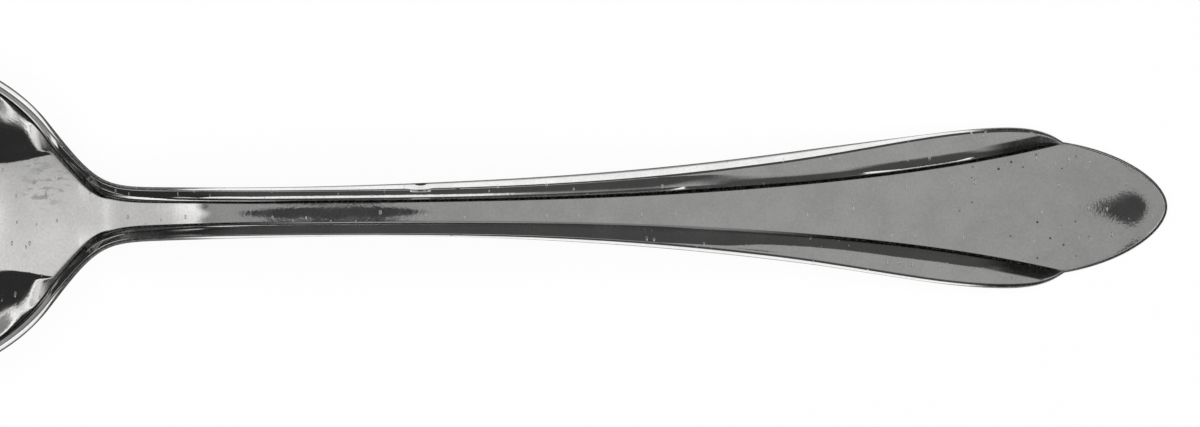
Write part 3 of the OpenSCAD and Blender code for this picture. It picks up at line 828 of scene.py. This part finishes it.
    # short scratches across the blank that scatter light. real ones are finer, these are as fine as the
    # picture shows
    stretch = addNode(tree, "ShaderNodeMapping", None,
                      {"Scale": (1 / plate["dash"][0], 1 / plate["dash"][1], 1 / plate["dash"][0])},
                      {0: place})
    dash = addNode(tree, "ShaderNodeTexVoronoi", {"voronoi_dimensions": "2D"}, {"Scale": 1.0},
                   {"Vector": stretch.outputs[0]})
    chosen = addNode(tree, "ShaderNodeSeparateXYZ", None, None, {0: dash.outputs["Color"]})
    reach = addNode(tree, "ShaderNodeMapRange", None, {1: 0.4, 2: 1.0, 3: 0.001, 4: 0.11},
                    {0: chosen.outputs["Y"]})
    cut = addNode(tree, "ShaderNodeMath", {"operation": "DIVIDE"}, None,
                  {0: dash.outputs["Distance"], 1: reach.outputs[0]})
    cut = addNode(tree, "ShaderNodeMapRange", smooth, {1: 1.0, 2: 0.5, 3: 0.0, 4: 1.0}, {0: cut.outputs[0]})
    dull = addNode(tree, "ShaderNodeMath", {"operation": "MULTIPLY_ADD"}, {1: plate["dashRough"]},
                   {0: cut.outputs[0], 2: dull.outputs[0]})
    tree.links.new(dull.outputs[0], shader.inputs["Roughness"])
    swell = addNode(tree, "ShaderNodeBump", None, {"Strength": 1.0, "Distance": plate["rippleHigh"] * mm},
                    {"Height": ripple.outputs[0]})
    fine = addNode(tree, "ShaderNodeBump", None, {"Strength": 1.0, "Distance": plate["grainHigh"] * mm},
                   {"Height": grain.outputs[0], "Normal": swell.outputs[0]})
    scored = addNode(tree, "ShaderNodeBump", None, {"Strength": 1.0, "Distance": plate["dashHigh"] * mm},
                     {"Height": cut.outputs[0], "Normal": fine.outputs[0]})
    tree.links.new(scored.outputs[0], shader.inputs["Normal"])
    return mat


silver = silverPlate()
for node, make in (("bowl", makeBowl), ("neck", makeNeck), ("stem", makeStem), ("handle", makeHandle),
                   ("terminal", makeTerminal)):
    piece = make()
    piece.data.materials.append(silver)
    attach(piece, "root")
    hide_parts(node)
    print("piece made:", piece.name, len(piece.data.polygons), "faces")

# a sheet of card under the spoon, matt white: even and pale, white to the camera and to the metal, and it
# keeps the spoon's shadow
card = dict(halfSize=1.2, color="F4F4F4", toCamera=0.92, toMetal=0.3)


def whiteCard():
    mat = bpy.data.materials.new("whiteCard")
    mat.use_nodes = True
    tree = mat.node_tree
    tree.nodes.clear()
    path = addNode(tree, "ShaderNodeLightPath")
    bounce = addNode(tree, "ShaderNodeMath", {"operation": "MAXIMUM"}, None,
                     {0: path.outputs["Is Glossy Ray"], 1: path.outputs["Is Transmission Ray"]})
    metal = addNode(tree, "ShaderNodeMath", {"operation": "MULTIPLY"}, {1: card["toMetal"]},
                    {0: bounce.outputs[0]})
    share = addNode(tree, "ShaderNodeMath", {"operation": "MULTIPLY_ADD"}, {1: card["toCamera"]},
                    {0: path.outputs["Is Camera Ray"], 2: metal.outputs[0]})
    paper = addNode(tree, "ShaderNodeBsdfDiffuse", None, {"Color": hexColor(card["color"])})
    white = addNode(tree, "ShaderNodeEmission", None, {"Color": (1, 1, 1, 1), "Strength": 1.0})
    mix = addNode(tree, "ShaderNodeMixShader", None, None,
                  {0: share.outputs[0], 1: paper.outputs[0], 2: white.outputs[0]})
    addNode(tree, "ShaderNodeOutputMaterial", None, None, {"Surface": mix.outputs[0]})
    return mat


bm = bmesh.new()
bmesh.ops.create_grid(bm, x_segments=1, y_segments=1, size=card["halfSize"])
floorMesh = bpy.data.meshes.new("cardFloor")
bm.to_mesh(floorMesh)
bm.free()
floorMesh.materials.append(whiteCard())
floor = bpy.data.objects.new("cardFloor", floorMesh)
bpy.context.collection.objects.link(floor)
print("floor laid")

# a light tent with black flags at the sides: a grey roof with a dark round opening for the camera, a
# bright window towards the bowl's tip, a light strip on the near side, and white all round near the table.
# angles in degrees from straight up, window as pairs of angle and brightness
tent = dict(hole=0.05, holeAt=7.0, holeSoft=0.6, roof=0.26, roofEnd=0.32, roofEdge=27.0, roofSoft=1.5,
            roofSoftNear=7.0, roofLean=6.0, roofReach=9.0, flag=0.062, flagDeep=0.025,
            window=((24, 1.0), (38, 1.0), (46, 0.9), (50, 0.71), (60, 0.59), (68, 0.5)), windowHalf=33.2,
            windowHalfSoft=1.2, windowLean=0.039, windowTop=26.0, windowSoft=6.5, windowLevel=0.85,
            windowTilt=0.4, windowArch=4.0, windowArchMost=0.1, strip=0.9, stripFrom=24.0, stripTo=36.5,
            stripLean=0.5, stripAcross=(-0.47, -0.68), stripNear=(-0.45, -0.6), low=1.0, lowAt=86.0,
            lowLean=10.0, lowFrom=34.0)


def lightTent():
    world = bpy.data.worlds.new("lightTent")
    bpy.context.scene.world = world
    world.use_nodes = True
    tree = world.node_tree
    tree.nodes.clear()
    deg = math.radians
    smooth = {"interpolation_type": "SMOOTHSTEP"}
    # down is the angle from straight up, toEnd and toFar the compass direction
    coord = addNode(tree, "ShaderNodeTexCoord")
    split = addNode(tree, "ShaderNodeSeparateXYZ", None, None, {0: coord.outputs["Generated"]})
    down = addNode(tree, "ShaderNodeMath", {"operation": "ARCCOSINE"}, None,
                   {0: split.outputs["Z"]}).outputs[0]
    flat = addNode(tree, "ShaderNodeCombineXYZ", None, None, {0: split.outputs["X"], 1: split.outputs["Y"]})
    unit = addNode(tree, "ShaderNodeVectorMath", {"operation": "NORMALIZE"}, None, {0: flat.outputs[0]})
    way = addNode(tree, "ShaderNodeSeparateXYZ", None, None, {0: unit.outputs[0]})
    toEnd, toFar = way.outputs["X"], way.outputs["Y"]
    # flags, darkest beside the window
    sky = addNode(tree, "ShaderNodeMapRange", smooth, {1: 0.0, 2: -0.6, 3: tent["flag"], 4: tent["flagDeep"]},
                  {0: toEnd}).outputs[0]
    # roof, whose edge comes lower and softer on the near side
    roof = addNode(tree, "ShaderNodeMapRange", None, {1: -0.5, 2: 0.5, 3: tent["roof"], 4: tent["roofEnd"]},
                   {0: split.outputs["X"]})
    leaned = addNode(tree, "ShaderNodeMath", {"operation": "MULTIPLY_ADD"}, {1: deg(tent["roofLean"])},
                     {0: toFar, 2: down})
    reach = addNode(tree, "ShaderNodeMath", {"operation": "MAXIMUM"}, {1: 0.0}, {0: toEnd})
    leaned = addNode(tree, "ShaderNodeMath", {"operation": "MULTIPLY_ADD"}, {1: -deg(tent["roofReach"])},
                     {0: reach.outputs[0], 2: leaned.outputs[0]})
    soft = addNode(tree, "ShaderNodeMapRange", smooth,
                   {1: -0.3, 2: -0.9, 3: deg(tent["roofSoft"]), 4: deg(tent["roofSoftNear"])}, {0: toFar})
    under = addNode(tree, "ShaderNodeMath", {"operation": "SUBTRACT"}, {0: deg(tent["roofEdge"])},
                    {1: leaned.outputs[0]})
    under = addNode(tree, "ShaderNodeMath", {"operation": "DIVIDE"}, None,
                    {0: under.outputs[0], 1: soft.outputs[0]})
    inRoof = addNode(tree, "ShaderNodeMapRange", smooth, {1: -1.0, 2: 1.0, 3: 0.0, 4: 1.0},
                     {0: under.outputs[0]})
    sky = addNode(tree, "ShaderNodeMix", None, None,
                  {0: inRoof.outputs[0], 2: sky, 3: roof.outputs[0]}).outputs[0]
    # window, a little brighter on the far side and with an arched top
    turn = addNode(tree, "ShaderNodeMath", {"operation": "DIVIDE"}, {1: math.pi}, {0: down})
    ramp = addNode(tree, "ShaderNodeValToRGB", None, None, {0: turn.outputs[0]})
    marks = ramp.color_ramp.elements
    while len(marks) < len(tent["window"]):
        marks.new(0.5)
    for mark, (at, grey) in zip(marks, tent["window"]):
        mark.position = at / 180
        mark.color = (grey, grey, grey, 1)
    side = addNode(tree, "ShaderNodeMath", {"operation": "MULTIPLY_ADD"},
                   {1: tent["windowTilt"], 2: tent["windowLevel"]}, {0: toFar})
    pane = addNode(tree, "ShaderNodeMath", {"operation": "MULTIPLY"}, None,
                   {0: ramp.outputs[0], 1: side.outputs[0]})
    aside = addNode(tree, "ShaderNodeMath", {"operation": "MULTIPLY_ADD"}, {1: -tent["windowLean"]},
                    {0: toFar, 2: toEnd})
    half, halfSoft = tent["windowHalf"], tent["windowHalfSoft"]
    across = addNode(tree, "ShaderNodeMapRange", smooth,
                     {1: -math.cos(deg(half + halfSoft)), 2: -math.cos(deg(half - halfSoft)), 3: 0.0, 4: 1.0},
                     {0: aside.outputs[0]})
    arch = addNode(tree, "ShaderNodeMath", {"operation": "MULTIPLY_ADD"},
                   {1: -tent["windowArch"], 2: -tent["windowArch"]}, {0: toEnd})
    arch = addNode(tree, "ShaderNodeMath", {"operation": "MAXIMUM"}, {1: -tent["windowArchMost"]},
                   {0: arch.outputs[0]})
    arch = addNode(tree, "ShaderNodeMath", {"operation": "ADD"}, None, {0: arch.outputs[0], 1: down})
    below = addNode(tree, "ShaderNodeMapRange", smooth,
                    {1: deg(tent["windowTop"] - tent["windowSoft"]),
                     2: deg(tent["windowTop"] + tent["windowSoft"]),
                     3: 0.0, 4: 1.0}, {0: arch.outputs[0]})
    mask = addNode(tree, "ShaderNodeMath", {"operation": "MULTIPLY"}, None,
                   {0: across.outputs[0], 1: below.outputs[0]})
    sky = addNode(tree, "ShaderNodeMix", None, None,
                  {0: mask.outputs[0], 2: sky, 3: pane.outputs[0]}).outputs[0]
    # light strip between the roof and the near flag, running on towards the window
    aside = addNode(tree, "ShaderNodeMath", {"operation": "MULTIPLY_ADD"}, {1: tent["stripLean"]},
                    {0: toEnd, 2: toFar})
    across = addNode(tree, "ShaderNodeMapRange", smooth,
                     {1: tent["stripAcross"][0], 2: tent["stripAcross"][1], 3: 0.0, 4: 1.0},
                     {0: aside.outputs[0]})
    near = addNode(tree, "ShaderNodeMapRange", smooth,
                   {1: tent["stripNear"][0], 2: tent["stripNear"][1], 3: 0.0, 4: 1.0}, {0: toFar})
    across = addNode(tree, "ShaderNodeMath", {"operation": "MULTIPLY"}, None,
                     {0: across.outputs[0], 1: near.outputs[0]})
    below = addNode(tree, "ShaderNodeMapRange", smooth,
                    {1: deg(tent["stripFrom"] - 1), 2: deg(tent["stripFrom"] + 1), 3: 0.0, 4: 1.0}, {0: down})
    above = addNode(tree, "ShaderNodeMapRange", smooth,
                    {1: deg(tent["stripTo"] + 1.5), 2: deg(tent["stripTo"] - 1.5), 3: 0.0, 4: 1.0}, {0: down})
    mask = addNode(tree, "ShaderNodeMath", {"operation": "MULTIPLY"}, None,
                   {0: across.outputs[0], 1: below.outputs[0]})
    mask = addNode(tree, "ShaderNodeMath", {"operation": "MULTIPLY"}, None,
                   {0: mask.outputs[0], 1: above.outputs[0]})
    sky = addNode(tree, "ShaderNodeMix", None, {3: tent["strip"]}, {0: mask.outputs[0], 2: sky}).outputs[0]
    # white near the table except under the window, reaching higher on the far side
    far = addNode(tree, "ShaderNodeMath", {"operation": "ADD"}, None, {0: toFar, 1: toEnd})
    far = addNode(tree, "ShaderNodeMath", {"operation": "MAXIMUM"}, {1: 0.0}, {0: far.outputs[0]})
    leaned = addNode(tree, "ShaderNodeMath", {"operation": "MULTIPLY_ADD"}, {1: deg(tent["lowLean"])},
                     {0: far.outputs[0], 2: down})
    low = addNode(tree, "ShaderNodeMapRange", smooth,
                  {1: deg(tent["lowAt"] - 1), 2: deg(tent["lowAt"] + 1), 3: 0.0, 4: 1.0},
                  {0: leaned.outputs[0]})
    across = addNode(tree, "ShaderNodeMapRange", smooth,
                     {1: -math.cos(deg(tent["lowFrom"] - 2)), 2: -math.cos(deg(tent["lowFrom"] + 2)),
                      3: 0.0, 4: 1.0}, {0: toEnd})
    low = addNode(tree, "ShaderNodeMath", {"operation": "MULTIPLY"}, None,
                  {0: low.outputs[0], 1: across.outputs[0]})
    sky = addNode(tree, "ShaderNodeMix", None, {3: tent["low"]}, {0: low.outputs[0], 2: sky}).outputs[0]
    # opening for the camera
    hole = addNode(tree, "ShaderNodeMapRange", smooth,
                   {1: deg(tent["holeAt"] + tent["holeSoft"]), 2: deg(tent["holeAt"] - tent["holeSoft"]),
                    3: 0.0, 4: 1.0}, {0: down})
    sky = addNode(tree, "ShaderNodeMix", None, {3: tent["hole"]}, {0: hole.outputs[0], 2: sky}).outputs[0]
    back = addNode(tree, "ShaderNodeBackground", None, {"Strength": 1.0}, {0: sky})
    addNode(tree, "ShaderNodeOutputWorld", None, None, {"Surface": back.outputs[0]})


lightTent()

# soft overhead light that brings the card to a plain level. the metal shows the tent, not the lamp
softbox = dict(size=1.0, x=0.02, height=1.1, power=12.0)
lampData = bpy.data.lights.new("softbox", "AREA")
lampData.shape = "SQUARE"
lampData.size = softbox["size"]
lampData.energy = softbox["power"]
lamp = bpy.data.objects.new("softbox", lampData)
lamp.location = (softbox["x"], 0.0, softbox["height"])
lamp.visible_glossy = False
bpy.context.collection.objects.link(lamp)
print("tent and softbox lit")

# straight down with a long lens, cropped on the left as the photo is. width is what the picture spans
shot = dict(distance=1750.0, tilt=-0.5, roll=0.476, lookX=22.79, lookY=-0.26, lookZ=6.0, width=115.38,
            sensor=36.0)
camData = bpy.data.cameras.new("shotCamera")
cam = bpy.data.objects.new("shotCamera", camData)
bpy.context.collection.objects.link(cam)
camData.sensor_fit = "HORIZONTAL"
camData.sensor_width = shot["sensor"]
camData.lens = shot["distance"] * shot["sensor"] / shot["width"]
camData.clip_start = 0.01
camData.clip_end = 10.0
tilt, roll = math.radians(shot["tilt"]), math.radians(shot["roll"])
look = Vector((shot["lookX"], shot["lookY"], shot["lookZ"])) * mm
away = Vector((0, math.sin(tilt), math.cos(tilt)))
cam.location = look + away * shot["distance"] * mm
right = Vector((math.cos(roll), -math.sin(roll), 0))
up = away.cross(right).normalized()
right = up.cross(away)
cam.matrix_world = Matrix.Translation(cam.location) @ Matrix((right, up, away)).transposed().to_4x4()
bpy.context.scene.camera = cam
bpy.context.scene.view_settings.view_transform = "Standard"
print("camera placed")
